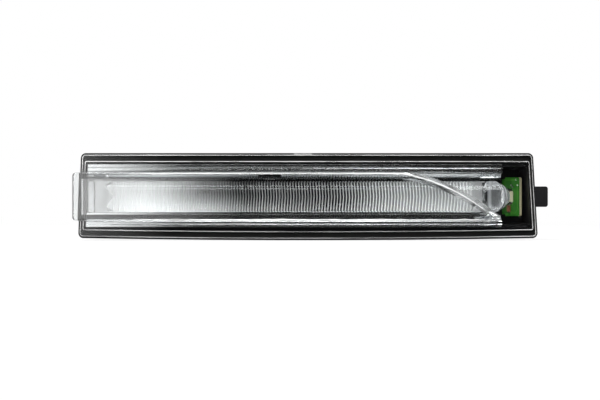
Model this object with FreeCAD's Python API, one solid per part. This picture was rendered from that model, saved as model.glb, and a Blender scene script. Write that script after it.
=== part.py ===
import FreeCAD
import Part
import math
import os
from FreeCAD import Placement, Rotation, Vector

# Front indicator lamp, lengths in millimetres.
# +X runs along the lamp, +Z is up and the lens faces -Y.
# The origin is midway between the two rear fixing bosses, on the plane of their end faces.

# Housing outline, seen from the front
body_length = 191.5
body_height = 36.6
lower_edge_sag = 0.9
left_lean = 1.9
right_lean = 3.3
corner_radius = 2.2

# Housing walls and floor
wall = 2.0
floor_thickness = 2.0
floor_edge_radius = 1.2
draft_slope = 0.03

# Rim with the groove for the lens
rim_depth = 5.2
rim_lip_side = 1.0
rim_lip_end = 0.6
groove_side = 2.4
groove_end = 1.4
groove_wall_side = 1.0
groove_wall_end = 0.7
groove_depth = 3.6
ledge_width = 1.2

# End tab
tab_reach = 5.2
tab_height = 8.6
tab_thickness = 3.0
tab_corner = 1.0

# Rear fixing bosses
boss_spacing = 100.0
boss_radius = 4.2
boss_height = 8.5
boss_flare = 0.5
boss_hole_radius = 1.6
boss_hole_depth = 8.0
gusset_reach = 5.0
rib_thickness = 1.4
rib_height = 2.4
rib_spread = 7.0
cross_rib_count = 7

# Outer lens
flange_inset = 0.7
flange_thickness = 2.4
rim_flange_thickness = 1.5
flange_edge_radius = 0.5
leg_clearance = 0.25
seal_thickness = 0.7
window_rise = 9.0
window_front_wall = 2.2
crown_radius = 1500.0
window_half_height = 10.3
window_side_draft = 0.5
window_edge_radius = 1.0
nose_overhang = 2.6
nose_draft = 1.0
window_corner = 1.4
cavity_half_height = 7.6
cavity_side_draft = 0.3
cavity_land = 0.3
gate_place = -1.9
gate_width = 7.6
gate_rise = 0.5
gate_thickness = 1.4
sweep_start = 44.5
sweep_middle = 67.0
sweep_middle_height = 2.1
sweep_finish = 84.0
sweep_run = 6.5
cavity_start = 43.5
cavity_middle = 61.5
cavity_finish = 78.0

# Light guide
guide_gap = 0.6
guide_thickness = 9.0
guide_half_width = 6.5
dome_rise = 3.4
rail_half_width = 7.5
rail_front = 3.4
rail_thickness = 1.8
guide_end_gap = 0.7
end_pad_length = 6.5
end_pad_thickness = 4.6
end_pad_chamfer = 2.0
dome_end_radius = 13.0
tooth_radius = 16.0
tooth_bends = 2
tooth_pitch_first = 1.05
tooth_pitch_last = 1.38
tooth_land = 0.45
tooth_angle = 45.0
tooth_margin_left = 3.3
tooth_margin_right = 2.5

# Collimator and the tilted board
board_tilt = 45.0
collimator_length = 8.0
collimator_bulge = 0.9
collimator_step = 0.2
entry_radius = 2.6
entry_recess_radius = 1.8
entry_recess_depth = 1.2
emitter_gap = 0.3
emitter_height = 0.6
emitter_radius = 1.5
package_height = 1.9
package_width = 4.2
package_length = 4.6
package_chamfer = 0.5
board_thickness = 1.6
board_half_height = 8.25
board_right = 5.5
board_left = 9.0
board_wall_gap = 1.85
board_floor_gap = 1.3
board_corner = 0.8
rail_slot_gap = 0.1
rail_grip = 0.7
rail_cover = 1.6
rail_reach = 7.0
shield_front = 0.7
shield_thickness = 1.0
shield_edge = 3.0

# Small parts on the board
solder_length = 1.0
solder_height = 0.7
chip_width = 1.5
chip_length = 2.6
chip_height = 0.7
chip_gap = 1.7
ballast_pitch = 3.4
ballast_across = -2.5
ballast_height = 4.2
diode_length = 4.3
diode_width = 2.6
diode_depth = 2.0
capacitor_radius = 2.0
capacitor_length = 2.6

# Terminals and connector socket
terminal_thickness = 0.8
terminal_width = 1.5
terminal_pitch = 5.0
terminal_across = 5.0
terminal_proud = 0.8
terminal_run = 2.0
terminal_free_length = 6.5
terminal_clearance = 0.05
terminal_solder_radius = 1.4
terminal_solder_height = 0.6
socket_width = 8.0
socket_height = 14.0
socket_wall = 1.5
socket_depth = 12.0
socket_corner = 1.2
latch_width = 4.0
latch_length = 3.0
latch_rise = 1.2
latch_setback = 2.5

# Reflector
reflector_thickness = 1.5
reflector_fit = 0.2
reflector_end_gap = 0.5
lens_clearance = 0.3
strip_width = 2.6
flute_count = 2
flute_rise = 0.2
trough_bulge = 0.4
rail_side_gap = 0.5
channel_side_gap = 0.3
channel_back_gap = 0.7
reflector_floor_gap = 1.7
reflector_right_gap = 11.4
cutout_clearance = 0.9
collimator_relief = 1.2
hook_place = -15.8
hook_width = 4.6
hook_slot_width = 9.7
hook_slot_land = 0.3
hook_stem = 1.0
hook_overlap = 0.6
hook_thickness = 0.9
hook_clearance = 0.1
lip_end_gap = 3.0

# Breather
vent_bay = 3
vent_radius = 3.5
vent_hole_radius = 1.5
vent_height = 4.0
membrane_thickness = 0.3
membrane_inset = 0.3
cap_wall = 1.9
cap_roof = 1.6
cap_clearance = 0.15
cap_notch_width = 2.0
cap_notch_height = 1.4

# Insets of the nested outlines, from the rim's outer edge
groove_inner_side = rim_lip_side + groove_side
groove_inner_end = rim_lip_end + groove_end
pocket_side = groove_inner_side + groove_wall_side
pocket_end = groove_inner_end + groove_wall_end
inner_side = pocket_side + ledge_width
outer_side = inner_side - wall
outer_end = pocket_end - wall

# Planes across the depth of the lamp, from the weld plane backwards
tray_depth = guide_gap + guide_thickness + channel_back_gap + reflector_thickness + reflector_floor_gap
weld_y = -(boss_height + floor_thickness + tray_depth)
tray_floor_y = weld_y + tray_depth
tray_back_y = tray_floor_y + floor_thickness
lip_front_y = weld_y + lens_clearance
lip_back_y = lip_front_y + reflector_thickness
crown_y = weld_y + guide_gap
guide_back_y = crown_y + guide_thickness
guide_axis_y = crown_y + guide_thickness / 2
rail_front_y = weld_y + rail_front
rail_back_y = rail_front_y + rail_thickness
channel_y = guide_back_y + channel_back_gap
front_y = weld_y - flange_thickness - window_rise

# Heights of the inner pocket, whose lower edge is straight
pocket_top = body_height / 2 - pocket_side
pocket_low = -body_height / 2 + lower_edge_sag + pocket_side
trough_half = -pocket_low - reflector_fit - strip_width
ledge_half = rail_half_width + rail_side_gap

# Ends of the space inside the rim, at mid height
inside_left = -body_length / 2 + pocket_end
inside_right = body_length / 2 - pocket_end

# Frame of the collimator: its entry face, with the axis tilted towards the back
axis_cos = math.cos(math.radians(board_tilt))
axis_sin = math.sin(math.radians(board_tilt))
board_front = emitter_gap + emitter_height + package_height
board_back = board_front + board_thickness
entry_x = inside_right - board_wall_gap - board_back * axis_cos - board_right * axis_sin
entry_y = guide_axis_y + collimator_length * axis_sin
bend_x = entry_x - collimator_length * axis_cos
collimator_radius = guide_thickness / 2 / axis_sin - collimator_step

# Chamber for the board, behind the right end
chamber_floor_y = entry_y + board_back * axis_sin + board_left * axis_cos + board_floor_gap
chamber_back_y = chamber_floor_y + floor_thickness
trough_right = bend_x - guide_thickness / 2 * axis_cos / axis_sin - collimator_relief
chamber_left = trough_right - collimator_relief

# Terminal blades: where they turn from the board towards the back
turn_along = board_back + terminal_run
terminal_x = entry_x + turn_along * axis_cos - terminal_across * axis_sin
terminal_turn_y = entry_y + turn_along * axis_sin + terminal_across * axis_cos
terminal_tip_y = chamber_back_y + terminal_free_length
socket_mouth_y = chamber_back_y + socket_depth

# Ribs across the back of the tray, and the vent in the middle of one bay between them
rib_left = inside_left + wall + rib_thickness / 2
rib_right = chamber_left - wall - rib_thickness / 2
rib_pitch = (rib_right - rib_left) / (cross_rib_count - 1)
vent_place = rib_left + (vent_bay + 0.5) * rib_pitch

FAR = 400.0


def block(x0, x1, y0, y1, z0, z1):
    return Part.makeBox(x1 - x0, y1 - y0, z1 - z0, Vector(x0, y0, z0))


def polygon(points):
    return Part.Face(Part.makePolygon(points + points[:1]))


def line(start, end):
    return Part.LineSegment(start, end).toShape()


def arc(start, middle, end):
    return Part.Arc(start, middle, end).toShape()


def fuse(first, *others):
    return first.fuse(list(others)).removeSplitter()


def depth_edges(solid):
    """Edges that run from front to back."""
    found = []
    for edge in solid.Edges:
        span = edge.Vertexes[0].Point - edge.Vertexes[-1].Point
        if abs(span.y) > 0.5 * span.Length > 0:
            found.append(edge)
    return found


def edges_on_plane(solid, y):
    return [edge for edge in solid.Edges if all(abs(v.Point.y - y) < 0.001 for v in edge.Vertexes)]


def on_board(shape):
    """Place a shape drawn at the collimator's entry: x along its axis, y across the board, z up."""
    tilt = Placement(Vector(entry_x, entry_y, 0), Rotation(Vector(0, 0, 1), board_tilt))
    return shape.transformed(tilt.toMatrix())


def left_edge(z, inset):
    lean = math.radians(left_lean)
    return -body_length / 2 + z * math.tan(lean) + inset / math.cos(lean)


def right_edge(z, inset):
    lean = math.radians(right_lean)
    return body_length / 2 - z * math.tan(lean) - inset / math.cos(lean)


def outline(side_inset, end_inset, y, sag):
    """Housing outline drawn in by the insets; the lower edge sags at mid length."""
    top = body_height / 2 - side_inset
    low = -body_height / 2 + lower_edge_sag + side_inset
    top_left = Vector(left_edge(top, end_inset), y, top)
    top_right = Vector(right_edge(top, end_inset), y, top)
    low_right = Vector(right_edge(low, end_inset), y, low)
    low_left = Vector(left_edge(low, end_inset), y, low)
    lower = line(low_right, low_left)
    if sag:
        lower = arc(low_right, Vector(0, y, low - sag), low_left)
    return Part.Wire([line(top_left, top_right), line(top_right, low_right), lower, line(low_left, top_left)])


def slab(side_inset, end_inset, y0, y1, corner, sag=lower_edge_sag):
    solid = Part.Face(outline(side_inset, end_inset, y0, sag)).extrude(Vector(0, y1 - y0, 0))
    return solid.makeFillet(corner, depth_edges(solid))


def drafted(side_inset, end_inset, y1, corner):
    """Straight-sided body from the weld plane back to y1, narrowing by the draft."""
    draw = draft_slope * (y1 - weld_y)
    front = outline(side_inset, end_inset, weld_y, 0)
    back = outline(side_inset + draw, end_inset + draw, y1, 0)
    solid = Part.makeLoft([front, back], True, True)
    return solid.makeFillet(corner, depth_edges(solid))


def rim_ring(outer_inset, inner_inset, y0, y1):
    """Closed ring along the rim between two insets, each given for the sides and for the ends."""
    outer = slab(outer_inset[0], outer_inset[1], y0, y1, corner_radius - outer_inset[1])
    inner = slab(inner_inset[0], inner_inset[1], y0, y1, groove_wall_end)
    return outer.cut(inner)


def fixing_boss(x):
    base = Vector(x, tray_back_y, 0)
    boss = Part.makeCone(boss_radius + boss_flare, boss_radius, boss_height, base, Vector(0, 1, 0))
    half = rib_thickness / 2
    reach = boss_radius + gusset_reach
    along = polygon([Vector(x - reach, tray_back_y, -half), Vector(x + reach, tray_back_y, -half),
                     Vector(x + boss_radius, -rib_height, -half), Vector(x - boss_radius, -rib_height, -half)])
    return fuse(boss, along.extrude(Vector(0, 0, rib_thickness)))


def stiffening_ribs():
    """Long ribs joined by cross ribs, on the back of the tray."""
    half = rib_thickness / 2
    front = tray_back_y - floor_thickness / 2
    back = tray_back_y + rib_height
    ribs = []
    for z in (-rib_spread, rib_spread):
        ribs.append(block(rib_left - half, rib_right + half, front, back, z - half, z + half))
    for number in range(cross_rib_count):
        x = rib_left + number * rib_pitch
        ribs.append(block(x - half, x + half, front, back, -rib_spread, rib_spread))
    return ribs


def connector_shroud():
    half_width = socket_width / 2 + socket_wall
    half_height = socket_height / 2 + socket_wall
    shroud = block(terminal_x - half_width, terminal_x + half_width, chamber_floor_y + floor_thickness / 2,
                   socket_mouth_y, -half_height, half_height)
    shroud = shroud.makeFillet(socket_corner + socket_wall / 2, depth_edges(shroud))
    nib_back = socket_mouth_y - latch_setback
    nib_x = terminal_x - half_width
    nib = polygon([Vector(nib_x, nib_back - latch_length, -latch_width / 2),
                   Vector(nib_x - latch_rise, nib_back - latch_length, -latch_width / 2),
                   Vector(nib_x, nib_back, -latch_width / 2)])
    return fuse(shroud, nib.extrude(Vector(0, 0, latch_width)))


def socket_hollow():
    hollow = block(terminal_x - socket_width / 2, terminal_x + socket_width / 2, chamber_back_y,
                   socket_mouth_y, -socket_height / 2, socket_height / 2)
    return hollow.makeFillet(socket_corner, depth_edges(hollow))


def board_rails():
    """Two slotted rails that hold the upper and lower edges of the board, and a light shield between them."""
    near = board_front - rail_cover
    far = board_back + rail_cover
    rails = []
    for side in (-1, 1):
        z0 = side * (board_half_height - rail_grip)
        z1 = side * (body_height / 2 - pocket_side)
        rail = block(near, far, board_left - rail_reach, FAR, min(z0, z1), max(z0, z1))
        rails.append(on_board(rail))
    shield = block(shield_front, shield_front + shield_thickness, shield_edge, FAR,
                   -board_half_height, board_half_height)
    rails.append(on_board(shield))
    return rails


def rear_housing():
    rim = slab(0, 0, weld_y, weld_y + rim_depth, corner_radius)
    tray = drafted(outer_side, outer_end, tray_back_y, corner_radius)
    tray = tray.makeFillet(floor_edge_radius, edges_on_plane(tray, tray_back_y))
    tray = tray.common(block(-FAR, chamber_left, -FAR, FAR, -FAR, FAR))
    chamber = drafted(outer_side, outer_end, chamber_back_y, corner_radius)
    chamber = chamber.makeFillet(floor_edge_radius, edges_on_plane(chamber, chamber_back_y))
    chamber = chamber.common(block(chamber_left - wall, FAR, -FAR, FAR, -FAR, FAR))
    shell = fuse(tray, chamber)
    tab = block(inside_right, body_length / 2 + tab_reach, weld_y, weld_y + tab_thickness,
                -tab_height / 2, tab_height / 2)
    tab_ends = [edge for edge in depth_edges(tab) if edge.CenterOfMass.x > body_length / 2]
    tab = tab.makeFillet(tab_corner, tab_ends)
    bosses = [fixing_boss(x) for x in (-boss_spacing / 2, boss_spacing / 2)]
    nozzle = Part.makeCylinder(vent_radius, vent_height + floor_thickness / 2,
                               Vector(vent_place, tray_back_y - floor_thickness / 2, 0), Vector(0, 1, 0))
    shell = fuse(shell, rim, tab, connector_shroud(), nozzle, *bosses, *stiffening_ribs())

    tray_space = drafted(inner_side, pocket_end, tray_floor_y, groove_wall_end)
    tray_space = tray_space.common(block(-FAR, chamber_left, -FAR, FAR, -FAR, FAR))
    chamber_space = drafted(inner_side, pocket_end, chamber_floor_y, groove_wall_end)
    chamber_space = chamber_space.common(block(chamber_left, FAR, -FAR, FAR, -FAR, FAR))
    space = fuse(tray_space, chamber_space)
    rails = [rail.common(space) for rail in board_rails()]
    pocket = slab(pocket_side, pocket_end, weld_y, lip_back_y, groove_wall_end, 0)
    groove = rim_ring((rim_lip_side, rim_lip_end), (groove_inner_side, groove_inner_end),
                      weld_y, weld_y + groove_depth)
    hollows = [space, pocket, groove, socket_hollow()]
    for x in (-boss_spacing / 2, boss_spacing / 2):
        hollows.append(Part.makeCylinder(boss_hole_radius, boss_hole_depth, Vector(x, 0, 0), Vector(0, -1, 0)))
    hollows.append(Part.makeCylinder(vent_hole_radius, FAR, Vector(vent_place, tray_floor_y, 0), Vector(0, 1, 0)))
    for side in (-1, 1):
        hollows.append(terminal_blade(side, terminal_clearance))
    shell = shell.cut(hollows)
    shell = fuse(shell, *rails)
    return shell.cut(board_plate(rail_slot_gap))


def lens_plate(side_inset, end_inset, thickness, corner):
    """Flat plate on the weld plane with a rounded front edge."""
    front = weld_y - thickness
    plate = slab(side_inset, end_inset, front, weld_y, corner)
    return plate.makeFillet(flange_edge_radius, edges_on_plane(plate, front))


def outer_lens():
    rim = lens_plate(flange_inset, flange_inset, rim_flange_thickness, corner_radius - flange_inset)
    face = lens_plate(groove_inner_side, groove_inner_end, flange_thickness, groove_wall_end)
    leg = rim_ring((rim_lip_side + leg_clearance, rim_lip_end + leg_clearance),
                   (groove_inner_side - leg_clearance, groove_inner_end - leg_clearance),
                   weld_y, weld_y + groove_depth - seal_thickness)
    return fuse(rim, face, window_outside(), leg, gate_land()).cut(window_cavity())


def gate_land():
    """Stub of the moulding gate on the upper edge of the flange."""
    edge = body_height / 2 - flange_inset
    return block(gate_place - gate_width / 2, gate_place + gate_width / 2, weld_y - gate_thickness, weld_y,
                 edge - gate_rise, edge + gate_rise)


def window_wire(y, left, half_height, start, middle, finish):
    """Window outline: three straight sides and the swept right end, one arc from top to bottom."""
    top_left = Vector(left, y, half_height)
    top_right = Vector(start, y, half_height)
    low_right = Vector(finish, y, -half_height)
    low_left = Vector(left, y, -half_height)
    sweep = arc(top_right, Vector(middle, y, sweep_middle_height), low_right)
    return Part.Wire([line(top_left, top_right), sweep, line(low_right, low_left), line(low_left, top_left)])


def crowned(solid, setback):
    """Cut the front of the window to a slow curve along the lamp, set back from its foremost line."""
    radius = crown_radius - setback
    middle = front_y + setback
    half = body_length
    fall = radius - math.sqrt(radius ** 2 - half ** 2)
    left = Vector(-half, middle + fall, -FAR / 2)
    right = Vector(half, middle + fall, -FAR / 2)
    bow = arc(left, Vector(0, middle, -FAR / 2), right)
    back_left = left + Vector(0, FAR, 0)
    back_right = right + Vector(0, FAR, 0)
    drum = Part.Wire([bow, line(right, back_right), line(back_right, back_left), line(back_left, left)])
    return solid.common(Part.Face(drum).extrude(Vector(0, 0, FAR)))


def window_outside():
    nose = -body_length / 2 - nose_overhang
    base = window_wire(weld_y, nose, window_half_height, sweep_start, sweep_middle, sweep_finish)
    front = window_wire(front_y - window_edge_radius, nose + nose_draft, window_half_height - window_side_draft,
                        sweep_start - sweep_run, sweep_middle - sweep_run, sweep_finish - sweep_run)
    window = Part.makeLoft([base, front], True, True)
    window = window.makeFillet(window_corner, depth_edges(window))
    window = crowned(window, 0)
    rim = [edge for edge in window.Edges if edge.BoundBox.YMax < weld_y - flange_thickness]
    return window.makeFillet(window_edge_radius, rim)


def window_cavity():
    left = -body_length / 2 + groove_inner_end - cavity_land
    base = window_wire(weld_y, left, cavity_half_height, cavity_start, cavity_middle, cavity_finish)
    front = window_wire(front_y, left, cavity_half_height - cavity_side_draft,
                        cavity_start - sweep_run, cavity_middle - sweep_run, cavity_finish - sweep_run)
    cavity = Part.makeLoft([base, front], True, True)
    return crowned(cavity, window_front_wall)


def lens_seal():
    return rim_ring((rim_lip_side, rim_lip_end), (groove_inner_side, groove_inner_end),
                    weld_y + groove_depth - seal_thickness, weld_y + groove_depth)


def strip_flutes(x, start, finish):
    """Rounded flutes along the front of a reflector strip, from one height to another."""
    width = (finish - start) / flute_count
    arcs = []
    for number in range(flute_count):
        z = start + number * width
        crest = Vector(x, lip_front_y - flute_rise, z + width / 2)
        arcs.append(arc(Vector(x, lip_front_y, z), crest, Vector(x, lip_front_y, z + width)))
    return arcs


def reflector():
    top = pocket_top - reflector_fit
    low = pocket_low + reflector_fit
    channel = guide_half_width + channel_side_gap
    thick = reflector_thickness
    bulge = trough_bulge * math.sqrt(0.5)
    middle_z = (trough_half + ledge_half) / 2 + bulge
    middle_y = (lip_front_y + rail_back_y) / 2 + bulge
    x = inside_left - wall

    def at(y, z):
        return Vector(x, y, z)

    channel_points = [at(rail_back_y, ledge_half), at(rail_back_y, channel), at(channel_y, channel),
                      at(channel_y, -channel), at(rail_back_y, -channel), at(rail_back_y, -ledge_half)]
    slant = 2 * thick / 3
    back = [at(lip_front_y, low), at(lip_back_y, low), at(lip_back_y, -trough_half - slant),
            at(rail_back_y + thick, -ledge_half - thick / 2), at(rail_back_y + thick, -channel - thick),
            at(channel_y + thick, -channel - thick), at(channel_y + thick, channel + thick),
            at(rail_back_y + thick, channel + thick), at(rail_back_y + thick, ledge_half + thick / 2),
            at(lip_back_y, trough_half + slant), at(lip_back_y, top), at(lip_front_y, top)]
    edges = strip_flutes(x, top, trough_half)
    edges.append(arc(at(lip_front_y, trough_half), at(middle_y, middle_z), at(rail_back_y, ledge_half)))
    edges += [line(a, b) for a, b in zip(channel_points, channel_points[1:])]
    edges.append(arc(at(rail_back_y, -ledge_half), at(middle_y, -middle_z), at(lip_front_y, -trough_half)))
    edges += strip_flutes(x, -trough_half, low)
    edges += [line(a, b) for a, b in zip(back, back[1:])]
    length = inside_right - reflector_right_gap - x
    trough = Part.Face(Part.Wire(edges)).extrude(Vector(length, 0, 0))

    opening = collimator_radius + cutout_clearance
    trough = trough.cut(block(trough_right, FAR, -FAR, FAR, -opening, opening))
    slot = block(hook_place - hook_slot_width / 2, hook_place + hook_slot_width / 2,
                 lip_back_y, rail_back_y + thick, ledge_half, trough_half - hook_slot_land)
    trough = trough.cut(slot)
    room = slab(0, pocket_end + reflector_end_gap, weld_y, channel_y + thick, groove_wall_end, 0)
    return fuse(trough, snap_hook(), guide_lip(x)).common(room)


def hook_nose_y():
    return rail_front_y - hook_clearance - hook_thickness


def snap_hook():
    """Spring hook in a slot of the upper wall; its nose holds the upper rail of the guide."""
    x0 = hook_place - hook_width / 2
    x1 = hook_place + hook_width / 2
    inner = rail_half_width + hook_clearance
    stem = block(x0, x1, hook_nose_y(), rail_back_y + reflector_thickness, inner, inner + hook_stem)
    nose = block(x0, x1, hook_nose_y(), hook_nose_y() + hook_thickness, rail_half_width - hook_overlap, inner)
    return fuse(stem, nose)


def guide_lip(left):
    """Fixed lip along the lower wall, over the lower rail of the guide."""
    return block(left, trough_right - lip_end_gap, hook_nose_y(), hook_nose_y() + hook_thickness,
                 -trough_half, -rail_half_width + hook_overlap)


def dome_body(left, right):
    x = Vector(left, 0, 0)
    shoulder_y = crown_y + dome_rise
    low_back = x + Vector(0, guide_back_y, -guide_half_width)
    low_shoulder = x + Vector(0, shoulder_y, -guide_half_width)
    top_shoulder = x + Vector(0, shoulder_y, guide_half_width)
    top_back = x + Vector(0, guide_back_y, guide_half_width)
    section = Part.Wire([line(low_back, low_shoulder),
                         arc(low_shoulder, x + Vector(0, crown_y, 0), top_shoulder),
                         line(top_shoulder, top_back), line(top_back, low_back)])
    return Part.Face(section).extrude(Vector(right - left, 0, 0))


def tooth_comb(left, right):
    """Zigzag that cuts V grooves into the back of the guide, their pitch growing towards the LED."""
    slope = math.tan(math.radians(tooth_angle))
    peak_y = guide_back_y + tooth_land / 2 * slope
    points = [Vector(left, peak_y, 0)]
    x = left
    while x < right:
        share = (x - left) / (right - left)
        pitch = tooth_pitch_first + (tooth_pitch_last - tooth_pitch_first) * share
        points.append(Vector(x + pitch / 2, peak_y - pitch / 2 * slope, 0))
        x += pitch
        points.append(Vector(x, peak_y, 0))
    clear_y = guide_back_y + guide_thickness
    return polygon(points + [Vector(x, clear_y, 0), Vector(left, clear_y, 0)])


def tooth_lag(z):
    """How far the bent teeth fall back from mid height towards their ends."""
    return math.sqrt(tooth_radius ** 2 - z ** 2) - tooth_radius


def tooth_cutters(left, right):
    """The comb drawn across the guide in short straight runs, so that each tooth is bent."""
    comb = tooth_comb(left, right)
    levels = [rail_half_width * number / tooth_bends for number in range(-tooth_bends, tooth_bends + 1)]
    cutters = []
    for low, high in zip(levels, levels[1:]):
        start = Vector(tooth_lag(low), 0, low)
        run = Vector(tooth_lag(high) - tooth_lag(low), 0, high - low)
        cutters.append(comb.translated(start).extrude(run))
    return cutters


def collimator():
    """Bowl from the LED to the end of the guide, with a recess that takes the emitter's light."""
    middle_radius = (collimator_radius + entry_radius) / 2 + collimator_bulge
    start = Vector(-collimator_length, collimator_radius, 0)
    middle = Vector(-collimator_length / 2, middle_radius, 0)
    end = Vector(0, entry_radius, 0)
    corners = [end, Vector(0, entry_recess_radius, 0), Vector(-entry_recess_depth, entry_recess_radius, 0),
               Vector(-entry_recess_depth, 0, 0), Vector(-collimator_length, 0, 0), start]
    edges = [arc(start, middle, end)] + [line(a, b) for a, b in zip(corners, corners[1:])]
    bowl = Part.Face(Part.Wire(edges)).revolve(Vector(0, 0, 0), Vector(1, 0, 0), 360)
    return on_board(bowl)


def light_guide():
    left = inside_left + guide_end_gap
    dome_left = left + end_pad_length
    body = dome_body(dome_left, inside_right)
    end_drum = Part.makeCylinder(dome_end_radius, FAR, Vector(dome_left + dome_end_radius, -FAR / 2, 0),
                                 Vector(0, 1, 0))
    tail = block(dome_left, dome_left + dome_end_radius, -FAR, FAR, -FAR, FAR)
    body = body.cut(tail.cut(end_drum))
    beyond = block(-collimator_length, FAR, -FAR, FAR, -FAR, FAR)
    body = body.cut(on_board(beyond))
    rails = block(left, trough_right - channel_side_gap, rail_front_y, rail_back_y,
                  -rail_half_width, rail_half_width)
    pad = block(left, dome_left + dome_end_radius / 2, rail_front_y, rail_front_y + end_pad_thickness,
                -guide_half_width, guide_half_width)
    pad_edge = [edge for edge in pad.Edges if edge.BoundBox.XMax < left + 0.001
                and edge.BoundBox.YMin > rail_front_y + 0.001]
    pad = pad.makeChamfer(end_pad_chamfer, pad_edge)
    body = body.cut(tooth_cutters(dome_left + tooth_margin_left, trough_right - tooth_margin_right))
    return fuse(body, rails, pad, collimator())


def board_plate(margin):
    """The board's outline, larger all round by a margin for the slots that hold it."""
    plate = block(board_front - margin, board_back + margin, -board_right - margin, board_left + margin,
                  -board_half_height - margin, board_half_height + margin)
    return on_board(plate)


def circuit_board():
    plate = block(board_front, board_back, -board_right, board_left, -board_half_height, board_half_height)
    corners = [edge for edge in plate.Edges if edge.BoundBox.XLength > board_thickness / 2]
    plate = on_board(plate.makeFillet(board_corner, corners))
    return plate.cut([terminal_blade(side, terminal_clearance) for side in (-1, 1)])


def led_package():
    base = board_front - package_height
    package = block(base, board_front, -package_width / 2, package_width / 2,
                    -package_length / 2, package_length / 2)
    front_edges = [edge for edge in package.Edges if edge.BoundBox.XMax < base + 0.001]
    return on_board(package.makeChamfer(package_chamfer, front_edges))


def led_emitter():
    ball_radius = (emitter_radius ** 2 + emitter_height ** 2) / (2 * emitter_height)
    base = board_front - package_height
    ball = Part.makeSphere(ball_radius, Vector(base - emitter_height + ball_radius, 0, 0))
    return on_board(ball.common(block(base - emitter_height, base, -FAR, FAR, -FAR, FAR)))


def led_solder():
    """One wedge of solder at the upper and one at the lower end of the package."""
    wedges = []
    half = package_width / 2 - package_chamfer
    for side in (-1, 1):
        foot = side * package_length / 2
        wedge = polygon([Vector(board_front, -half, foot), Vector(board_front, -half, foot + side * solder_length),
                         Vector(board_front - solder_height, -half, foot)])
        wedges.append(on_board(wedge.extrude(Vector(0, 2 * half, 0))))
    return Part.makeCompound(wedges)


def chip(face, outward, across, height):
    """A flat chip part standing on one face of the board."""
    ends = sorted((face, face + outward * chip_height))
    return on_board(block(ends[0], ends[1], across - chip_width / 2, across + chip_width / 2,
                          height - chip_length / 2, height + chip_length / 2))


def dropper_resistor():
    height = -(package_length / 2 + solder_length + chip_gap)
    return chip(board_front, -1, 0, height)


def ballast_resistors():
    chips = []
    for number in range(3):
        chips.append(chip(board_back, 1, ballast_across, ballast_height - number * ballast_pitch))
    return Part.makeCompound(chips)


def reverse_diode():
    across = ballast_across + chip_width + diode_width / 2
    body = block(board_back, board_back + diode_depth, across - diode_width / 2, across + diode_width / 2,
                 ballast_height - diode_length / 2, ballast_height + diode_length / 2)
    back_edges = [edge for edge in body.Edges if edge.BoundBox.XMin > board_back + diode_depth - 0.001]
    return on_board(body.makeChamfer(diode_depth / 5, back_edges))


def filter_capacitor():
    across = ballast_across + chip_width + capacitor_radius
    can = Part.makeCylinder(capacitor_radius, capacitor_length, Vector(board_back, across, -ballast_height),
                            Vector(1, 0, 0))
    return on_board(can)


def terminal_blade(side, margin):
    """Bent contact: through the board square to it, then straight back into the socket."""
    half = terminal_thickness / 2 + margin
    low = side * terminal_pitch / 2 - terminal_width / 2 - margin
    high = side * terminal_pitch / 2 + terminal_width / 2 + margin
    foot = on_board(block(board_front - terminal_proud - margin, turn_along, terminal_across - half,
                          terminal_across + half, low, high))
    bend = Part.makeCylinder(half, high - low, Vector(terminal_x, terminal_turn_y, low))
    pin = block(terminal_x - half, terminal_x + half, terminal_turn_y, terminal_tip_y + margin, low, high)
    return fuse(foot, bend, pin)


def terminal_solder():
    joints = []
    for side in (-1, 1):
        place = Vector(board_front, terminal_across, side * terminal_pitch / 2)
        mound = Part.makeCone(terminal_solder_radius, terminal_width / 2, terminal_solder_height,
                              place, Vector(-1, 0, 0))
        joints.append(on_board(mound).cut(terminal_blade(side, 0)))
    return Part.makeCompound(joints)


def breather_membrane():
    return Part.makeCylinder(vent_radius - membrane_inset, membrane_thickness,
                             Vector(vent_place, tray_back_y + vent_height, 0), Vector(0, 1, 0))


def breather_cap():
    """Rubber cap over the vent nozzle, notched at its foot so that air can pass."""
    radius = vent_radius + cap_clearance + cap_wall
    roof_y = tray_back_y + vent_height + membrane_thickness
    cap = Part.makeCylinder(radius, vent_height + membrane_thickness + cap_roof,
                            Vector(vent_place, tray_back_y, 0), Vector(0, 1, 0))
    top = edges_on_plane(cap, roof_y + cap_roof)
    cap = cap.makeFillet(cap_roof / 2, top)
    cap = cap.cut(Part.makeCylinder(vent_radius + cap_clearance, roof_y - tray_back_y,
                                    Vector(vent_place, tray_back_y, 0), Vector(0, 1, 0)))
    half = cap_notch_width / 2
    notch = block(vent_place - half, vent_place + half, tray_back_y, tray_back_y + cap_notch_height, -FAR, FAR)
    return cap.cut(notch)


pieces = {
    "rear_housing": rear_housing(),
    "outer_lens": outer_lens(),
    "lens_seal": lens_seal(),
    "reflector": reflector(),
    "light_guide": light_guide(),
    "circuit_board": circuit_board(),
    "led_package": led_package(),
    "led_emitter": led_emitter(),
    "led_solder": led_solder(),
    "dropper_resistor": dropper_resistor(),
    "ballast_resistors": ballast_resistors(),
    "reverse_diode": reverse_diode(),
    "filter_capacitor": filter_capacitor(),
    "terminal_upper": terminal_blade(1, 0),
    "terminal_lower": terminal_blade(-1, 0),
    "terminal_solder": terminal_solder(),
    "breather_membrane": breather_membrane(),
    "breather_cap": breather_cap(),
}

os.makedirs("parts", exist_ok=True)
for name, shape in pieces.items():
    shape.exportStep("parts/" + name + ".step")
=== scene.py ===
"""Front indicator lamp: finishes and small detail around the moulded solids, with light and camera."""

import math

import bmesh
import bpy
from mathutils import Matrix, Vector


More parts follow.
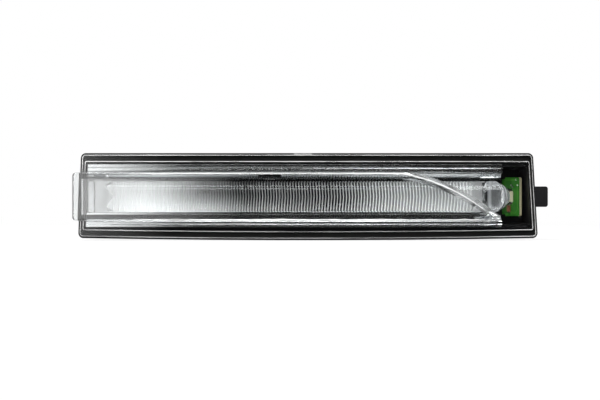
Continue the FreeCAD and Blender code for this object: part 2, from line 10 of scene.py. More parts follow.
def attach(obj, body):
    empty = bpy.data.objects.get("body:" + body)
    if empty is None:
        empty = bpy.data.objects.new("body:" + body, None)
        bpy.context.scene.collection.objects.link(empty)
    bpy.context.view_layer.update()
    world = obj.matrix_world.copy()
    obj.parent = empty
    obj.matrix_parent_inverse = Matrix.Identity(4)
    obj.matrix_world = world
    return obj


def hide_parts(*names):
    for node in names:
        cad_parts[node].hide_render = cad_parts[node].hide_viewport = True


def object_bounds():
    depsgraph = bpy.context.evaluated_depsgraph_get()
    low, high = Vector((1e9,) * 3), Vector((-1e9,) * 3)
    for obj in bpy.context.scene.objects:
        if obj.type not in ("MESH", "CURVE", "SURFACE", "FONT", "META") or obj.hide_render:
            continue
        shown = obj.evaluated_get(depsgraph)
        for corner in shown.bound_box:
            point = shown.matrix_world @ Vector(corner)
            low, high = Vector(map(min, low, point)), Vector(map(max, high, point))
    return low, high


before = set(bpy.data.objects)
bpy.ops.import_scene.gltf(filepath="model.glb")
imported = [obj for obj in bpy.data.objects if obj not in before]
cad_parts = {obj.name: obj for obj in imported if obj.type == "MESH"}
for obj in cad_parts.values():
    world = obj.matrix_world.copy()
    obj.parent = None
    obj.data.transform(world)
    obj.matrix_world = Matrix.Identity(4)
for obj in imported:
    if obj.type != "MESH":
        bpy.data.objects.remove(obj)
cad_low, cad_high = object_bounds()
MM = 0.001
LENS_BENDING = 1.50
BAR_BENDING = 1.49
RINGS_CENTRE = (-83.0 * MM, 17.0 * MM, 0.0)

# Values along the lamp, as (place in mm, value) stops. They paint light and shade along it: a pale wash at
# the left end as painted light, the amount of real frosting partly set as painted light, and painted shade.
LENS_PAINTED_LIGHT = ((-99.0, 0.03), (-92.0, 0.02), (-86.0, 0.0), (96.0, 0.0))
BAR_PAINTED_LIGHT = ((-93.0, 0.06), (-60.0, 0.0), (80.0, 0.0))
TOOTH_FROST_AND_PAINTED_LIGHT = (
    (-95.0, 0.75), (-70.0, 0.75), (-50.0, 0.22), (-24.0, 0.0), (14.0, 0.0), (40.0, 0.3), (80.0, 0.4))
TOOTH_LOWER_FROST_AND_PAINTED_LIGHT = ((-95.0, 0.1), (-66.0, 0.5), (-42.0, 0.8), (-24.0, 0.2), (5.0, 0.0), (80.0, 0.0))
TOOTH_PAINTED_SHADE = (
    (-95.0, 0.0), (-60.0, 0.0), (-42.0, 0.45), (-22.0, 0.85), (12.0, 0.8), (34.0, 0.3), (80.0, 0.0))
LAND_FROST_AND_PAINTED_LIGHT = (
    (-95.0, 0.7), (-70.0, 0.7), (-45.0, 0.25), (-22.0, 0.34), (10.0, 0.45), (30.0, 0.95), (66.0, 0.95),
    (71.0, 0.35), (80.0, 0.3))
LAND_LOWER_FROST_AND_PAINTED_LIGHT = ((-95.0, 0.1), (-66.0, 0.5), (-42.0, 0.7), (-20.0, 0.3), (10.0, 0.2), (80.0, 0.0))
LAND_PAINTED_SHADE = ((-95.0, 0.0), (-60.0, 0.0), (-40.0, 0.35), (-25.0, 0.45), (-20.0, 0.0), (80.0, 0.0))
CHANNEL_PAINTED_SHADE = (
    (-95.0, 0.45), (-84.0, 0.5), (-76.0, 0.8), (-64.0, 0.7), (-46.0, 0.25), (-20.0, 0.04), (12.0, 0.05),
    (36.0, 0.5), (78.0, 0.6))

# Limits that pick the faces of a solid that take another finish.
BAR_END_RIGHT = -80.0 * MM
TEETH_RIGHT = 72.0 * MM
LANDS_LEFT = -84.0 * MM
LANDS_RIGHT = 75.0 * MM
BAR_HALF_HEIGHT = 6.4 * MM
BOWL_LEFT = 76.0 * MM
FLANGE_FRONT = -26.5 * MM
FLANGE_BACK = -24.0 * MM
GATE_MIDDLE = -1.9 * MM
GATE_HALF_LENGTH = 3.9 * MM
GATE_LOW = 17.2 * MM
WINDOW_FRONT = -33.5 * MM
WINDOW_EDGE_LEFT = -92.0 * MM
NOSE_BACK_RIGHT = -95.8 * MM
NOSE_EDGE_RIGHT = -96.6 * MM


class Value:
    """A shader socket that takes part in sums and products."""

    def __init__(self, tree, socket):
        self.tree = tree
        self.socket = socket

    def math(self, operation, first, second=0.0):
        node = self.tree.nodes.new("ShaderNodeMath")
        node.operation = operation
        for slot, item in zip(node.inputs, (first, second)):
            plug(self.tree, slot, item)
        return Value(self.tree, node.outputs[0])

    def __add__(self, other):
        return self.math("ADD", self, other)

    __radd__ = __add__

    def __sub__(self, other):
        return self.math("SUBTRACT", self, other)

    def __rsub__(self, other):
        return self.math("SUBTRACT", other, self)

    def __mul__(self, other):
        return self.math("MULTIPLY", self, other)

    __rmul__ = __mul__

    def __truediv__(self, other):
        return self.math("DIVIDE", self, other)

    def __rtruediv__(self, other):
        return self.math("DIVIDE", other, self)

    def __pow__(self, other):
        return self.math("POWER", self, other)

    def __rpow__(self, other):
        return self.math("POWER", other, self)

    def __abs__(self):
        return self.math("ABSOLUTE", self)

    def most(self, other):
        return self.math("MAXIMUM", self, other)

    def least(self, other):
        return self.math("MINIMUM", self, other)


def plug(tree, slot, item):
    """Links a value to a socket, or sets a plain number or colour on it."""
    if isinstance(item, Value):
        tree.links.new(item.socket, slot)
    elif isinstance(item, tuple) and len(item) == 3 and slot.type == "RGBA":
        slot.default_value = (*item, 1.0)
    else:
        slot.default_value = item


class Finish:
    """One material under construction."""

    def __init__(self, name, owner=None):
        self.owner = owner or bpy.data.materials.new(name)
        self.owner.use_nodes = True
        self.tree = self.owner.node_tree
        self.tree.nodes.clear()

    def node(self, kind, settings=None, inputs=None, output=0):
        made = self.tree.nodes.new(kind)
        for key, item in (settings or {}).items():
            if key == "stops":
                ramp = made.color_ramp.elements
                while len(ramp) < len(item):
                    ramp.new(0.5)
                for stop, (place, colour) in zip(ramp, item):
                    stop.position = place
                    stop.color = (*colour, 1.0)
            else:
                setattr(made, key, item)
        for key, item in (inputs or {}).items():
            plug(self.tree, made.inputs[key], item)
        return Value(self.tree, made.outputs[output])

    def spot(self, stretch=(1.0, 1.0, 1.0)):
        place = self.node("ShaderNodeTexCoord", output="Object")
        if stretch == (1.0, 1.0, 1.0):
            return place
        return self.node("ShaderNodeMapping", {}, {"Vector": place, "Scale": stretch})

    def along(self):
        return self.node("ShaderNodeSeparateXYZ", {}, {0: self.spot()}, "X")

    def noise(self, scale, detail=2.0, rough=0.5, stretch=(1.0, 1.0, 1.0)):
        return self.node("ShaderNodeTexNoise", {}, {
            "Vector": self.spot(stretch), "Scale": scale, "Detail": detail, "Roughness": rough})

    def speckle(self, scale, stretch=(1.0, 1.0, 1.0)):
        return self.node("ShaderNodeTexVoronoi", {"feature": "F1"}, {
            "Vector": self.spot(stretch), "Scale": scale}, "Distance")

    def blend(self, share, first, second):
        return self.node("ShaderNodeMix", {"data_type": "RGBA"}, {0: share, 6: first, 7: second}, 2)

    def ramp(self, value, low, high):
        return self.node("ShaderNodeMapRange", {}, {
            "Value": value, "From Min": low, "From Max": high, "To Min": 0.0, "To Max": 1.0})

    def bump(self, height, strength, depth):
        return self.node("ShaderNodeBump", {}, {"Height": height, "Strength": strength, "Distance": depth})

    def principled(self, **sockets):
        return self.node("ShaderNodeBsdfPrincipled", {}, {
            key.replace("_", " ").title().replace("Ior", "IOR"): item for key, item in sockets.items()})

    def glass(self, tint, roughness, bending, **more):
        return self.principled(
            base_color=tint, roughness=roughness, ior=bending, transmission_weight=1.0, **more)

    def matt(self, colour):
        return self.node("ShaderNodeBsdfDiffuse", {}, {"Color": colour})

    def mix(self, share, first, second):
        return self.node("ShaderNodeMixShader", {}, {0: share, 1: first, 2: second})

    def fade(self, stops):
        """A value that follows the length of the lamp, given as (place in mm, value) stops."""
        low, high = stops[0][0], stops[-1][0]
        share = self.ramp(self.along(), low * MM, high * MM)
        grey = [((place - low) / (high - low), (value,) * 3) for place, value in stops]
        return self.node("ShaderNodeValToRGB", {"stops": grey}, {"Fac": share})

    def done(self, shader):
        out = self.tree.nodes.new("ShaderNodeOutputMaterial")
        self.tree.links.new(shader.socket, out.inputs["Surface"])
        return self.owner

    def light_ray(self, *kinds):
        rays = [self.node("ShaderNodeLightPath", output=kind) for kind in kinds]
        total = rays[0]
        for ray in rays[1:]:
            total = total.most(ray)
        return total


def grained_black():
    """Black moulded housing plastic: fine spark-eroded grain, faint flow clouds and dust."""
    f = Finish("grained_black")
    grain = f.noise(3200.0, 2.0)
    flow = f.noise(45.0, 4.0, 0.6, (0.35, 1.0, 1.0))
    dust = f.ramp(f.noise(900.0, 3.0, 0.7), 0.66, 0.78)
    black = f.blend(flow, (0.004, 0.004, 0.0045), (0.008, 0.008, 0.0085))
    return f.done(f.principled(
        base_color=f.blend(dust * 0.15, black, (0.05, 0.05, 0.048)),
        specular_ior_level=0.1, roughness=0.26 + grain * 0.12 + flow * 0.14 + dust * 0.1,
        normal=f.bump(grain, 0.18, 0.02 * MM)))


def clear_plastic(name, tint, bending, ripple, bloom):
    """Clear moulded plastic with slight flow waves and a pale matt wash that follows its length, which is
    painted light. Lamp light passes it.
    """
    f = Finish(name)
    flow = f.noise(70.0, 3.0, 0.5, (0.25, 1.0, 1.0))
    scuffs = f.ramp(f.noise(500.0, 4.0, 0.7, (0.4, 1.0, 1.6)), 0.6, 0.8)
    glass = f.glass(tint, scuffs * 0.02, bending, normal=f.bump(flow, ripple, 0.05 * MM))
    # Painted light: a pale matt share mixed into the glass by place along the lamp, paler towards its left
    # end.
    body = f.mix(f.fade(bloom), glass, f.matt((0.6, 0.61, 0.61)))
    passed = f.node("ShaderNodeBsdfTransparent", {}, {"Color": tint})
    return f.done(f.mix(f.light_ray("Is Shadow Ray"), body, passed))


def frosted(name, level, lower_frost_and_light, painted_shade):
    """Back of the light bar: clear plastic, finely textured, with a matt white share that follows its
    length.
    The lower half takes a further share. Both shares are partly real frosting and partly painted light, and
    a painted shade lays a near black matt over what lies deep between the ribs."""
    f = Finish(name)
    grain = f.noise(2500.0, 2.0)
    height = f.node("ShaderNodeSeparateXYZ", {}, {0: f.spot()}, "Z")
    below = f.ramp(0.0 - height, -1.0 * MM, 5.5 * MM)
    # Matt white share along the bar and in its lower half: partly real frosting, partly painted light.
    share = (f.fade(level) + f.fade(lower_frost_and_light) * below) * (0.8 + grain * 0.4)
    clear = f.glass((0.97, 0.98, 0.985), 0.02, BAR_BENDING)
    bar = f.mix(share.least(1.0), clear, f.matt((0.9, 0.9, 0.9)))
    # Painted shade: a near black matt laid over the bar where its stops say, less in the lower half.
    return f.done(f.mix(f.fade(painted_shade) * (1.0 - below * 0.5), bar, f.matt((0.01, 0.01, 0.011))))


def painted_edge_highlight():
    """Rounded edges of the clear lens: a matt white mixed into the glass makes a fine bright line, a
    painted highlight.
    """
    f = Finish("painted_edge_highlight")
    flow = f.noise(160.0, 3.0, 0.6, (0.15, 1.0, 1.0))
    clear = f.glass((0.97, 0.98, 0.98), 0.05, LENS_BENDING)
    return f.done(f.mix(0.18 + f.ramp(flow, 0.35, 0.7) * 0.4, clear, f.matt((0.85, 0.85, 0.85))))


def moulded_wall(name, tint, grey):
    """Steep walls of clear mouldings: greyed and hazy. The haze follows drag marks; the grey is painted
    shade, standing in for how thick clear plastic looks edge on.
    """
    f = Finish(name)
    drag = f.noise(420.0, 3.0, 0.6, (1.0, 0.2, 1.0))
    clear = f.glass(tint, 0.04 + drag * 0.06, LENS_BENDING)
    return f.done(f.mix(0.04 + drag * 0.14, clear, f.matt(grey)))


def hazed_bowl():
    """Collimator of the light bar: clear, with a grey haze from its stippled outside and faint rings."""
    f = Finish("hazed_bowl")
    stipple = f.noise(1800.0, 2.0)
    centred = f.node("ShaderNodeMapping", {}, {"Vector": f.spot(), "Location": RINGS_CENTRE})
    rings = f.node("ShaderNodeTexWave", {"wave_type": "RINGS", "rings_direction": "SPHERICAL"}, {
        "Vector": centred, "Scale": 150.0, "Distortion": 0.6}, "Fac")
    haze = 0.14 + stipple * 0.16 + rings ** 3.0 * 0.5
    clear = f.glass((0.80, 0.82, 0.83), 0.10, BAR_BENDING)
    return f.done(f.mix(haze, clear, f.matt((0.58, 0.59, 0.60))))


def silvered():
    """Vacuum-metallised plastic: bright, a little soft, with long waves and faint streaks."""
    f = Finish("silvered")
    wave = f.noise(60.0, 3.0, 0.5, (0.2, 1.0, 1.0))
    streak = f.noise(900.0, 3.0, 0.6, (0.05, 1.0, 1.0))
    pits = f.ramp(f.speckle(700.0), 0.0, 0.25)
    return f.done(f.principled(
        base_color=f.blend(streak, (0.80, 0.81, 0.82), (0.92, 0.92, 0.92)),
        metallic=1.0, roughness=0.04 + streak * 0.06,
        normal=f.bump(wave + pits * 0.02, 0.25, 0.05 * MM)))


def shaded_channel():
    """Channel behind the light bar: metal whose colour is darker away from both ends, painted shade and
    painted light along it.
    """
    f = Finish("shaded_channel")
    streak = f.noise(900.0, 3.0, 0.6, (0.05, 1.0, 1.0))
    return f.done(f.principled(
        base_color=f.fade(CHANNEL_PAINTED_SHADE), metallic=1.0, roughness=0.10 + streak * 0.10))


def green_mask():
    """Solder mask over bare laminate: mottled green with a trace of the weave."""
    f = Finish("green_mask")
    mottle = f.noise(350.0, 3.0, 0.6)
    weave = f.noise(1500.0, 1.0, 0.5, (1.0, 1.0, 0.3))
    return f.done(f.principled(
        base_color=f.blend(mottle, (0.012, 0.105, 0.006), (0.026, 0.165, 0.012)),
        roughness=0.28 + mottle * 0.16, coat_weight=0.3, coat_roughness=0.15,
        normal=f.bump(weave, 0.15, 0.02 * MM)))


def masked_copper():
    """Solder mask where copper lies under it: lighter and smoother."""
    f = Finish("masked_copper")
    mottle = f.noise(500.0, 2.0, 0.5)
    return f.done(f.principled(
        base_color=f.blend(mottle, (0.030, 0.165, 0.012), (0.050, 0.225, 0.020)),
        roughness=0.24 + mottle * 0.12, coat_weight=0.3, coat_roughness=0.12))


def cut_laminate():
    """Cut edges of the board: pale layers of glass fibre."""
    f = Finish("cut_laminate")
    layers = f.noise(700.0, 3.0, 0.6, (2.0, 2.0, 0.15))
    return f.done(f.principled(
        base_color=f.blend(layers, (0.36, 0.33, 0.17), (0.66, 0.60, 0.40)),
        roughness=0.62 + layers * 0.2, normal=f.bump(layers, 0.4, 0.04 * MM)))


def matt_ceramic(name, dark, light, rough):
    """Moulded or fired small-part body with fine speckle."""
    f = Finish(name)
    grain = f.noise(2600.0, 3.0, 0.6)
    cloud = f.noise(420.0, 2.0)
    return f.done(f.principled(
        base_color=f.blend(grain * 0.5 + cloud * 0.5, dark, light),
        roughness=rough + grain * 0.15, normal=f.bump(grain, 0.2, 0.01 * MM)))


def amber_phosphor():
    """Lit face of the lamp chip: grainy amber under a clear skin."""
    f = Finish("amber_phosphor")
    grain = f.noise(4200.0, 2.0)
    return f.done(f.principled(
        base_color=f.blend(grain, (0.78, 0.40, 0.05), (0.92, 0.58, 0.12)),
        roughness=0.25 + grain * 0.2, coat_weight=0.6, coat_roughness=0.06,
        normal=f.bump(grain, 0.15, 0.01 * MM)))


def bright_metal(name, dark, light, rough, stretch=(1.0, 1.0, 1.0)):
    """Solder, tin or aluminium: reflective with uneven gloss."""
    f = Finish(name)
    cloud = f.noise(900.0, 3.0, 0.6, stretch)
    fine = f.noise(5000.0, 2.0, 0.5, stretch)
    return f.done(f.principled(
        base_color=f.blend(cloud, dark, light), metallic=1.0,
        roughness=rough + cloud * 0.14 + fine * 0.06, normal=f.bump(fine + cloud, 0.2, 0.02 * MM)))


def soft_rubber(name, dark, light):
    """Black rubber or sealing compound with a dull bloom."""
    f = Finish(name)
    grain = f.noise(2400.0, 3.0, 0.6)
    bloom = f.noise(160.0, 3.0, 0.6)
    return f.done(f.principled(
        base_color=f.blend(bloom, dark, light), roughness=0.62 + grain * 0.2,
        normal=f.bump(grain, 0.3, 0.03 * MM)))


def felted_white():
    """Porous membrane: fine felted fibres."""
    f = Finish("felted_white")
    fibre = f.noise(6000.0, 4.0, 0.7)
    return f.done(f.principled(
        base_color=f.blend(fibre, (0.68, 0.68, 0.66), (0.86, 0.86, 0.84)),
        roughness=0.85, normal=f.bump(fibre, 0.5, 0.03 * MM)))


finishes = {
    "grained_black": grained_black(),
    "lens_clear": clear_plastic("lens_clear", (0.975, 0.985, 0.985), LENS_BENDING, 0.05, LENS_PAINTED_LIGHT),
    "guide_clear": clear_plastic("guide_clear", (0.97, 0.98, 0.985), BAR_BENDING, 0.04, BAR_PAINTED_LIGHT),
    "frosted_prism": frosted("frosted_prism", TOOTH_FROST_AND_PAINTED_LIGHT, TOOTH_LOWER_FROST_AND_PAINTED_LIGHT, TOOTH_PAINTED_SHADE),
    "frosted_land": frosted("frosted_land", LAND_FROST_AND_PAINTED_LIGHT, LAND_LOWER_FROST_AND_PAINTED_LIGHT, LAND_PAINTED_SHADE),
    "painted_edge_highlight": painted_edge_highlight(),
    "moulded_wall": moulded_wall("moulded_wall", (0.60, 0.62, 0.62), (0.75, 0.76, 0.76)),
    # The nose edge takes the wall finish nearly black: painted shade standing in for the dark housing wall
    # seen through the lens.
    "painted_dark_nose": moulded_wall("painted_dark_nose", (0.16, 0.165, 0.17), (0.20, 0.205, 0.21)),
    "hazed_bowl": hazed_bowl(),
    "silvered": silvered(),
    "shaded_channel": shaded_channel(),
    "green_mask": green_mask(),
    "masked_copper": masked_copper(),
    "cut_laminate": cut_laminate(),
    "cream_case": matt_ceramic("cream_case", (0.60, 0.54, 0.38), (0.78, 0.73, 0.56), 0.35),
    "amber_phosphor": amber_phosphor(),
    "solder": bright_metal("bright_solder", (0.52, 0.52, 0.53), (0.78, 0.78, 0.78), 0.18),
    "brown_case": matt_ceramic("brown_case", (0.16, 0.045, 0.02), (0.27, 0.09, 0.045), 0.35),
    "black_case": matt_ceramic("black_case", (0.012, 0.012, 0.013), (0.03, 0.03, 0.03), 0.4),
    "capacitor_can": bright_metal(
        "drawn_can", (0.62, 0.63, 0.65), (0.82, 0.83, 0.84), 0.22, (1.0, 1.0, 6.0)),
    "tinned_blade": bright_metal(
        "tinned_blade", (0.60, 0.58, 0.50), (0.80, 0.78, 0.70), 0.2, (4.0, 0.4, 4.0)),
    "felted_white": felted_white(),
    "cap_rubber": soft_rubber("cap_rubber", (0.012, 0.012, 0.012), (0.028, 0.028, 0.027)),
    "seal_bead": soft_rubber("seal_bead", (0.014, 0.014, 0.014), (0.030, 0.030, 0.029)),
}


def add_piece(name, mesh):
    """Puts a mesh into the scene as a piece of the lamp."""
    piece = bpy.data.objects.new(name, mesh)
    bpy.context.scene.collection.objects.link(piece)
    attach(piece, "root")
    return piece


def moulded(node, name, finish, corner=30.0, others=()):
    """A merged and smooth copy of a solid, with its sharp corners kept and some faces in other finishes."""
    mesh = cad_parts[node].data.copy()
    shape = bmesh.new()
    shape.from_mesh(mesh)
    bmesh.ops.remove_doubles(shape, verts=shape.verts[:], dist=0.002 * MM)
    bmesh.ops.dissolve_degenerate(shape, dist=0.001 * MM, edges=shape.edges[:])
    for face in shape.faces:
        face.smooth = True
        face.material_index = 0
        for number, (other, belongs) in enumerate(others, 1):
            if belongs(face):
                face.material_index = number
    for edge in shape.edges:
        edge.smooth = edge.calc_face_angle(0.0) < math.radians(corner)
    mesh.materials.clear()
    for used in (finish, *[other for other, belongs in others]):
        mesh.materials.append(finishes[used])
    shape.to_mesh(mesh)
    shape.free()
    piece = add_piece(name, mesh)
    even = piece.modifiers.new("even_normals", "WEIGHTED_NORMAL")
    even.keep_sharp = True
    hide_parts(node)


def is_tooth(face):
    """Slanting faces at the back of the light bar."""
    slanting = 0.5 < abs(face.normal.x) < 0.9 and face.normal.y > 0.5
    return slanting and face.calc_center_median().x < TEETH_RIGHT


def is_land(face):
    """Flats between the teeth."""
    middle = face.calc_center_median()
    within = abs(middle.z) < BAR_HALF_HEIGHT and LANDS_LEFT < middle.x < LANDS_RIGHT
    return face.normal.y > 0.95 and within


def is_bar_end(face):
    """Rounded left end of the light bar."""
    return face.normal.x < -0.3 and face.normal.y < 0.4 and face.calc_center_median().x < BAR_END_RIGHT


def is_channel(face):
    """Floor of the reflector's channel, behind the light bar."""
    return face.normal.y < -0.9 and abs(face.calc_center_median().z) < BAR_HALF_HEIGHT


def is_bowl(face):
    """Collimator at the lamp chip's end of the light bar."""
    return face.calc_center_median().x > BOWL_LEFT


def is_painted_highlight_edge(face):
    """Rounded front edges of the lens flange, of the step on it and of the window, and the gate's stub,
    which take the painted highlight.
    """
    middle = face.calc_center_median()
    rounded = 0.2 < -face.normal.y < 0.96
    flange = FLANGE_FRONT < middle.y < FLANGE_BACK
    gate = abs(middle.x - GATE_MIDDLE) < GATE_HALF_LENGTH and middle.z > GATE_LOW
    window = middle.y < WINDOW_FRONT and middle.x > WINDOW_EDGE_LEFT
    return rounded and (flange or window) or gate and flange


def is_window_wall(face):
    """Steep sides of the raised window, outside and inside, and the back of its overhanging left end."""
    middle = face.calc_center_median()
    steep = abs(face.normal.y) < 0.75 and middle.y < FLANGE_FRONT
    nose_back = face.normal.y > 0.5 and middle.x < NOSE_BACK_RIGHT
    return steep or nose_back


def is_nose_edge(face):
    """Rounded left end of the window, which stands out past the housing."""
    return face.calc_center_median().x < NOSE_EDGE_RIGHT and -face.normal.x > 0.3


def is_cut_edge(face):
    """Narrow sides of the tilted board."""
    return abs(face.normal.x + face.normal.y) < 1.0


moulded("rear_housing", "tray_moulding", "grained_black")
moulded("outer_lens", "lens_moulding", "lens_clear", 25.0,
        (("moulded_wall", is_window_wall), ("painted_edge_highlight", is_painted_highlight_edge), ("painted_dark_nose", is_nose_edge)))
moulded("lens_seal", "sealing_bead", "seal_bead")
moulded("reflector", "mirror_strip", "silvered", 30.0,
        (("shaded_channel", is_channel),))
moulded("light_guide", "guide_bar", "guide_clear", 22.0,
        (("frosted_prism", is_tooth), ("frosted_land", is_land), ("hazed_bowl", is_bowl),
         ("moulded_wall", is_bar_end)))
moulded("circuit_board", "board_laminate", "green_mask", 30.0,
        (("cut_laminate", is_cut_edge),))
moulded("led_package", "lamp_chip_case", "cream_case")
moulded("led_emitter", "lamp_chip_face", "amber_phosphor")
moulded("led_solder", "chip_joints", "solder")
moulded("dropper_resistor", "dropper_body", "brown_case")
moulded("ballast_resistors", "ballast_bodies", "black_case")
moulded("reverse_diode", "diode_body", "black_case")
moulded("filter_capacitor", "capacitor_body", "capacitor_can")
moulded("terminal_upper", "blade_upper", "tinned_blade")
moulded("terminal_lower", "blade_lower", "tinned_blade")
moulded("terminal_solder", "blade_joints", "solder")
moulded("breather_membrane", "vent_felt", "felted_white")
moulded("breather_cap", "vent_cap", "cap_rubber")


# The board stands at a slant. On it, x runs through the board, y across its front and z up.
board_turn = Matrix.Rotation(math.radians(45.0), 4, "Z")
board_place = Matrix.Translation((84.2 * MM, -13.243 * MM, 0.0)) @ board_turn
board_front = 2.8 * MM
track_rise = 0.05
round_steps = 20


def finish_piece(name, shape, finish, place=None):
    """Turns a drawn shape into a piece of the lamp, its faces outward and its sharp corners kept."""
    corner = math.radians(40.0)
    if place:
        bmesh.ops.transform(shape, matrix=place, verts=shape.verts[:])
    bmesh.ops.recalc_face_normals(shape, faces=shape.faces[:])
    for face in shape.faces:
        face.smooth = True
    for edge in shape.edges:
        edge.smooth = edge.calc_face_angle(0.0) < corner
    mesh = bpy.data.meshes.new(name)
    mesh.materials.append(finishes[finish])
    shape.to_mesh(mesh)
    shape.free()
    add_piece(name, mesh)


def add_track(shape, points, width):
    """A copper track under the mask, along points given as (across, up) in mm on the board's front."""
    foot = board_front + 0.01 * MM
    sharpest_turn = 0.5
    sides = []
    for number, point in enumerate(points):
        before = Vector(points[max(number - 1, 0)])
        after = Vector(points[min(number + 1, len(points) - 1)])
        run = (after - before).normalized()
        turn = 1.0
        if 0 < number < len(points) - 1:
            turn = 1.0 / max(run.dot((Vector(point) - before).normalized()), sharpest_turn)
        reach = Vector((-run.y, run.x)) * width / 2 * turn
        pair = []
        for flank in (reach, -reach):
            across, up = Vector(point) + flank
            pair.append(shape.verts.new((foot, across * MM, up * MM)))
        sides.append(pair)
    strip = [shape.faces.new((a[0], a[1], b[1], b[0])) for a, b in zip(sides, sides[1:])]
    raised = bmesh.ops.extrude_face_region(shape, geom=strip)["geom"]
    top = [item for item in raised if isinstance(item, bmesh.types.BMVert)]
    bmesh.ops.translate(shape, verts=top, vec=(-track_rise * MM, 0.0, 0.0))


def add_spun(shape, profile, centre):
    """A round shape on the board's front from a (radius, height) profile in mm, about (across, up)."""
    across, up = centre
    drawn = []
    for radius, height in profile:
        drawn.append(shape.verts.new((board_front - height * MM, (across + radius) * MM, up * MM)))
    edges = [shape.edges.new(pair) for pair in zip(drawn, drawn[1:])]
    bmesh.ops.spin(shape, geom=drawn + edges, cent=(0.0, across * MM, up * MM), axis=(1.0, 0.0, 0.0),
                   angle=math.tau, steps=round_steps, use_merge=True)
    bmesh.ops.remove_doubles(shape, verts=shape.verts[:], dist=0.001 * MM)


def board_tracks():
    """Three tracks on the board's front, from the lamp chip and the dropper to their vias."""
    shape = bmesh.new()
    add_track(shape, ((0.0, 3.6), (-0.5, 4.15), (-1.7, 4.15)), 0.6)
    add_track(shape, ((-4.4, 4.9), (-4.4, -5.4), (-3.2, -6.9), (-0.4, -6.9)), 0.5)
    add_track(shape, ((1.5, 3.6), (2.2, 4.6), (2.2, 7.2), (-3.6, 7.2)), 0.5)
    finish_piece("board_tracks", shape, "masked_copper", board_place)


def solder_spots():
    """Tinned via rings with a dimple, and domed touch-up joints, on the board's front."""
    shape = bmesh.new()
    ring = ((0.12, 0.0), (0.14, 0.05), (0.22, 0.10), (0.34, 0.09), (0.42, 0.0))
    dome = ((0.0, 0.26), (0.14, 0.24), (0.27, 0.17), (0.36, 0.07), (0.40, 0.0))
    for centre in ((-1.7, 4.15), (-3.6, 7.2)):
        add_spun(shape, ring, centre)
    for centre in ((-4.4, 4.9), (-0.9, 4.9)):
        add_spun(shape, dome, centre)
    finish_piece("solder_spots", shape, "solder", board_place)


def dropper_joints():
    """Concave solder fillets at both ends of the dropper."""
    half_width = 0.65 * MM
    curve = ((0.0, 0.0), (0.52, 0.0), (0.26, 0.25), (0.10, 0.60), (0.0, 1.0))
    shape = bmesh.new()
    for foot, side, length in ((-6.3, -1.0, 0.6), (-3.7, 1.0, 0.3)):
        ring = []
        for height, share in curve:
            up = (foot + side * length * share) * MM
            ring.append(shape.verts.new((board_front - height * MM, -half_width, up)))
        wall = shape.faces.new(ring)
        swept = bmesh.ops.extrude_face_region(shape, geom=[wall])["geom"]
        far = [item for item in swept if isinstance(item, bmesh.types.BMVert)]
        bmesh.ops.translate(shape, verts=far, vec=(0.0, 2 * half_width, 0.0))
    finish_piece("dropper_joints", shape, "solder", board_place)


def ejector_marks():
    """Shallow rings that the mould's ejector pins leave on the back of the tray."""
    tray_back = -8.52 * MM
    radius = 2.1 * MM
    rise = 0.16 * MM
    rim = 0.3 * MM
    dish = 0.08 * MM
    facing_back = Matrix.Rotation(math.radians(-90.0), 4, "X")
    shape = bmesh.new()
    for x in (-84.0, -70.0, -31.0, -17.0, 22.0, 36.0):
        place = Matrix.Translation((x * MM, tray_back, 0.0)) @ facing_back
        disc = bmesh.ops.create_circle(shape, cap_ends=True, segments=40, radius=radius, matrix=place)
        base = disc["verts"][0].link_faces[0]
        raised = bmesh.ops.extrude_face_region(shape, geom=[base])["geom"]
        top = next(item for item in raised if isinstance(item, bmesh.types.BMFace))
        bmesh.ops.translate(shape, verts=top.verts[:], vec=(0.0, rise, 0.0))
        bmesh.ops.inset_region(shape, faces=[top], thickness=rim)
        bmesh.ops.translate(shape, verts=top.verts[:], vec=(0.0, -dish, 0.0))
    finish_piece("ejector_marks", shape, "grained_black")


board_tracks()
solder_spots()
dropper_joints()
ejector_marks()


def pale_floor():
    """White floor that keeps the lamp's shadow and shows near white to the camera, metal and plastic."""
    f = Finish("pale_floor")
    mottle = f.noise(6.0, 3.0)
    matt = f.principled(base_color=f.blend(mottle, (0.88, 0.88, 0.88), (0.92, 0.92, 0.92)), roughness=0.7)
    glow = f.node("ShaderNodeEmission", {}, {"Color": (1.0, 1.0, 1.0), "Strength": 1.0})
    seen = f.light_ray("Is Camera Ray", "Is Glossy Ray", "Is Transmission Ray")
    distance = f.node("ShaderNodeVectorMath", {"operation": "LENGTH"}, {0: f.spot()}, "Value")
    share = 0.8 + f.ramp(distance, 0.12, 0.7) * 0.2
    return f.done(f.mix(seen * share, matt, glow))


def stand_on_floor():
    """Round floor just under the lamp."""
    radius = 6.0
    level = cad_low.z - 0.1 * MM
    shape = bmesh.new()
    bmesh.ops.create_circle(shape, cap_ends=True, segments=64, radius=radius,
                            matrix=Matrix.Translation((0.0, 0.0, level)))
    mesh = bpy.data.meshes.new("floor")
    shape.to_mesh(mesh)
    shape.free()
    mesh.materials.append(pale_floor())
    floor = bpy.data.objects.new("floor", mesh)
    bpy.context.scene.collection.objects.link(floor)
    floor.visible_glossy = False
    floor.visible_transmission = False


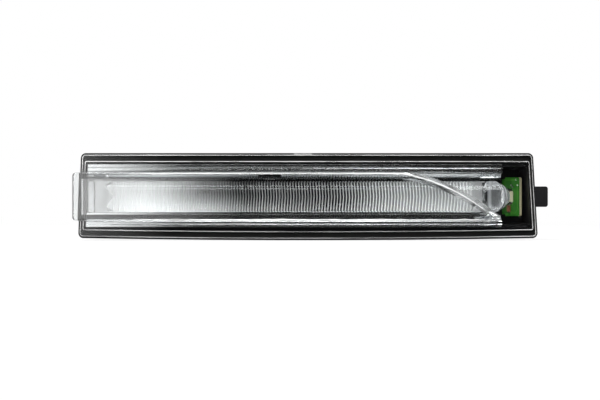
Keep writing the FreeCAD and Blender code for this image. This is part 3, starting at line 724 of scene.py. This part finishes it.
def white_surround():
    """World: white to the camera, even fill on matt surfaces, and for metal and plastic a white studio
    with a dark front and a bright panel at the left of it."""
    front_darkness = 0.985
    panel_glow = 3.0
    matt_fill = 0.55
    world = bpy.data.worlds.new("white_surround")
    bpy.context.scene.world = world
    f = Finish("white_surround", world)
    heading = f.node("ShaderNodeTexCoord", output="Generated")
    x = f.node("ShaderNodeSeparateXYZ", {}, {0: heading}, "X")
    y = f.node("ShaderNodeSeparateXYZ", {}, {0: heading}, "Y")
    z = f.node("ShaderNodeSeparateXYZ", {}, {0: heading}, "Z")
    ahead = (0.0 - y).most(0.001)
    side = x / ahead
    rise = abs(z) / ahead
    front = f.ramp(0.0 - y, 0.05, 0.25)
    left_edge = f.ramp(side, -0.24, -0.08)
    right_edge = 1.0 - f.ramp(side, 0.35, 1.2)
    height = 1.0 - f.ramp(rise, 0.8, 2.2)
    dark = front * left_edge * right_edge * height
    panel = front * (1.0 - left_edge) * f.ramp(side, -1.6, -0.5) * (1.0 - f.ramp(rise, 0.25, 1.2))
    shown = (1.0 - dark * front_darkness) + panel * panel_glow
    mirrored = f.light_ray("Is Glossy Ray", "Is Transmission Ray")
    seen = f.light_ray("Is Camera Ray")
    strength = seen + (1.0 - seen) * (mirrored * shown + (1.0 - mirrored) * matt_fill)
    glow = f.node("ShaderNodeBackground", {}, {"Color": (1.0, 1.0, 1.0), "Strength": strength})
    out = f.tree.nodes.new("ShaderNodeOutputWorld")
    f.tree.links.new(glow.socket, out.inputs["Surface"])


def soft_lamp(name, place, target, size, power):
    """Rectangular soft light at a place, turned to a target, with its power in watts."""
    light = bpy.data.lights.new(name, "AREA")
    light.shape = "RECTANGLE"
    light.size, light.size_y = size
    light.energy = power
    lamp = bpy.data.objects.new(name, light)
    lamp.location = place
    lamp.rotation_mode = "QUATERNION"
    lamp.rotation_quaternion = (Vector(target) - Vector(place)).to_track_quat("-Z", "Y")
    bpy.context.scene.collection.objects.link(lamp)
    return lamp


def studio():
    """Floor, surround and lamps. The fill beside the camera leaves no reflection of itself."""
    stand_on_floor()
    white_surround()
    middle = (0.0, 0.0, 0.0)
    soft_lamp("overhead_panel", (-0.15, -0.35, 0.75), middle, (0.9, 0.5), 9.0)
    soft_lamp("side_panel", (-0.8, -0.6, 0.25), middle, (0.5, 0.6), 5.0)
    fill = soft_lamp("front_fill", (0.10, -0.85, 0.12), (0.03, 0.0, 0.0), (0.3, 0.3), 2.4)
    fill.visible_glossy = False
    fill.visible_transmission = False


def camera_in_front():
    """Camera straight in front of the lamp, a little to the left of its middle."""
    view = bpy.data.cameras.new("front_view")
    view.lens = 100.0
    view.sensor_width = 36.0
    view.clip_start = 0.01
    camera = bpy.data.objects.new("front_view", view)
    camera.location = (-3.15 * MM, -724.0 * MM, -1.4 * MM)
    camera.rotation_euler = (math.radians(90.0), 0.0, 0.0)
    bpy.context.scene.collection.objects.link(camera)
    bpy.context.scene.camera = camera


studio()
camera_in_front()
bpy.context.scene.view_settings.view_transform = "Standard"
bpy.context.scene.cycles.max_bounces = 32
bpy.context.scene.cycles.glossy_bounces = 16
bpy.context.scene.cycles.transmission_bounces = 24
